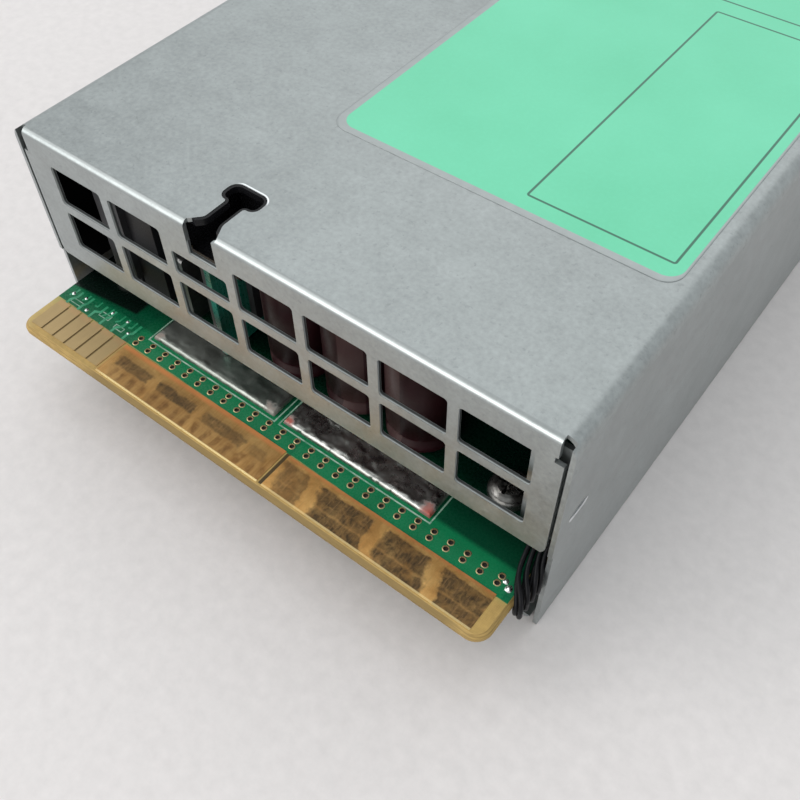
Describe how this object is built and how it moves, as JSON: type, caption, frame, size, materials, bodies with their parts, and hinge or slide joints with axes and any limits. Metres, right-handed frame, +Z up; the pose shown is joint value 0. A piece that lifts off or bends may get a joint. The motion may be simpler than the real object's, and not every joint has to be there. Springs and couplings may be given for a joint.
{
  "type": "hot swap server power supply",
  "caption": "Low rectangular metal hot-swap power supply with a gold card edge and vent at one end, and a mains inlet, fan, handle and release latch at the other.",
  "frame": {"origin": "middle of the case's underside, halfway along the sheet-metal case", "axes": "+X across the width to the right seen from the card edge end, +Y from the card edge to the handle, +Z up"},
  "size_m": [0.088, 0.2232, 0.0401],
  "materials": {
    "black_film": "satin film",
    "black_moulding": "fine texture",
    "black_sleeve": "shrink sleeve",
    "board_green": "solder mask over glass laminate",
    "board_teal": "solder mask",
    "burgundy_plastic": "moulded, fine texture",
    "clear_plastic": "moulded light pipe",
    "copper": "bare copper",
    "enamel_wire": "enamelled copper wire",
    "epoxy_black": "moulded epoxy",
    "fan_plastic": "glass-filled plastic",
    "ferrite": "sintered ferrite",
    "film_capacitor": "moulded box",
    "galvanised_steel": "galvanised sheet, fine spangle, satin",
    "gold_plating": "gold flash, scuffed",
    "heatsink_metal": "extruded",
    "label_film": "mint green film under clear laminate",
    "magnet": "bonded magnet",
    "maroon_sleeve": "printed sleeve, aluminium top",
    "plated_brass": "nickel plated",
    "powder_core": "coated powder core",
    "relay_case": "moulded case",
    "spring_steel": "polished strip",
    "steel_hardware": "zinc plated",
    "tinned_copper": "hot-tinned",
    "white_nylon": "natural nylon",
    "wire_black": "wire insulation",
    "wire_blue": "wire insulation",
    "wire_brown": "wire insulation",
    "wire_earth": "green and yellow insulation",
    "yellow_tape": "polyester tape"
  },
  "bodies": {
    "chassis": {"base_tray": "galvanised_steel", "board_screws": "steel_hardware", "board_standoffs": "steel_hardware", "bottom_insulator": "black_film", "bracket_rivets": "steel_hardware", "bridge_rectifier": "epoxy_black", "bulk_capacitors": "black_sleeve", "bus_strips": "tinned_copper", "capacitor_cradle": "white_nylon", "control_board": "board_teal", "control_parts": "epoxy_black", "cover_screws": "steel_hardware", "earth_screw": "plated_brass", "earth_wire": "wire_earth", "fan_bearings": "steel_hardware", "fan_housing": "fan_plastic", "fan_leads": "wire_black", "fan_screws": "steel_hardware", "fan_stator": "copper", "handle": "black_moulding", "handle_screws": "steel_hardware", "indicator_board": "board_green", "indicator_lamps": "clear_plastic", "inductor_core": "ferrite", "inductor_winding": "copper", "inlet_blades": "plated_brass", "inlet_housing": "black_moulding", "input_fuse": "white_nylon", "key_slot_guard": "black_moulding", "latch_bracket": "galvanised_steel", "latch_pin": "steel_hardware", "latch_spring": "spring_steel", "light_pipes": "clear_plastic", "line_capacitors": "film_capacitor", "line_choke_core": "powder_core", "line_choke_winding": "enamel_wire", "live_wire": "wire_brown", "main_board": "board_green", "mains_relay": "relay_case", "neutral_wire": "wire_blue", "output_busbars": "copper", "output_capacitors": "maroon_sleeve", "pfc_core": "powder_core", "pfc_winding": "enamel_wire", "power_contacts": "gold_plating", "primary_heatsink": "heatsink_metal", "primary_transistors": "epoxy_black", "rating_label": "label_film", "secondary_heatsink": "heatsink_metal", "secondary_transistors": "epoxy_black", "sense_leads": "wire_black", "signal_contacts": "gold_plating", "top_cover": "galvanised_steel", "transformer_core": "ferrite", "transformer_winding": "yellow_tape"},
    "fan_rotor": {"fan_impeller": "fan_plastic", "fan_shaft": "steel_hardware", "fan_magnet": "magnet"},
    "latch": {"latch_lever": "spring_steel", "latch_grip": "burgundy_plastic"}
  },
  "joints": [
    {"name": "fan_spin", "type": "hinge", "parent": "chassis", "child": "fan_rotor", "pos_m": [-0.0093, 0.077, 0.02], "axis": [0, 1, 0], "continuous": true},
    {"name": "latch_pivot", "type": "hinge", "parent": "chassis", "child": "latch", "pos_m": [-0.0394, 0.05, 0.02], "axis": [0, 0, -1], "range_deg": [0, 4.2], "stiffness_Nm_per_rad": 2, "springref_deg": -3.44, "deforming": ["latch_spring"]}
  ]
}
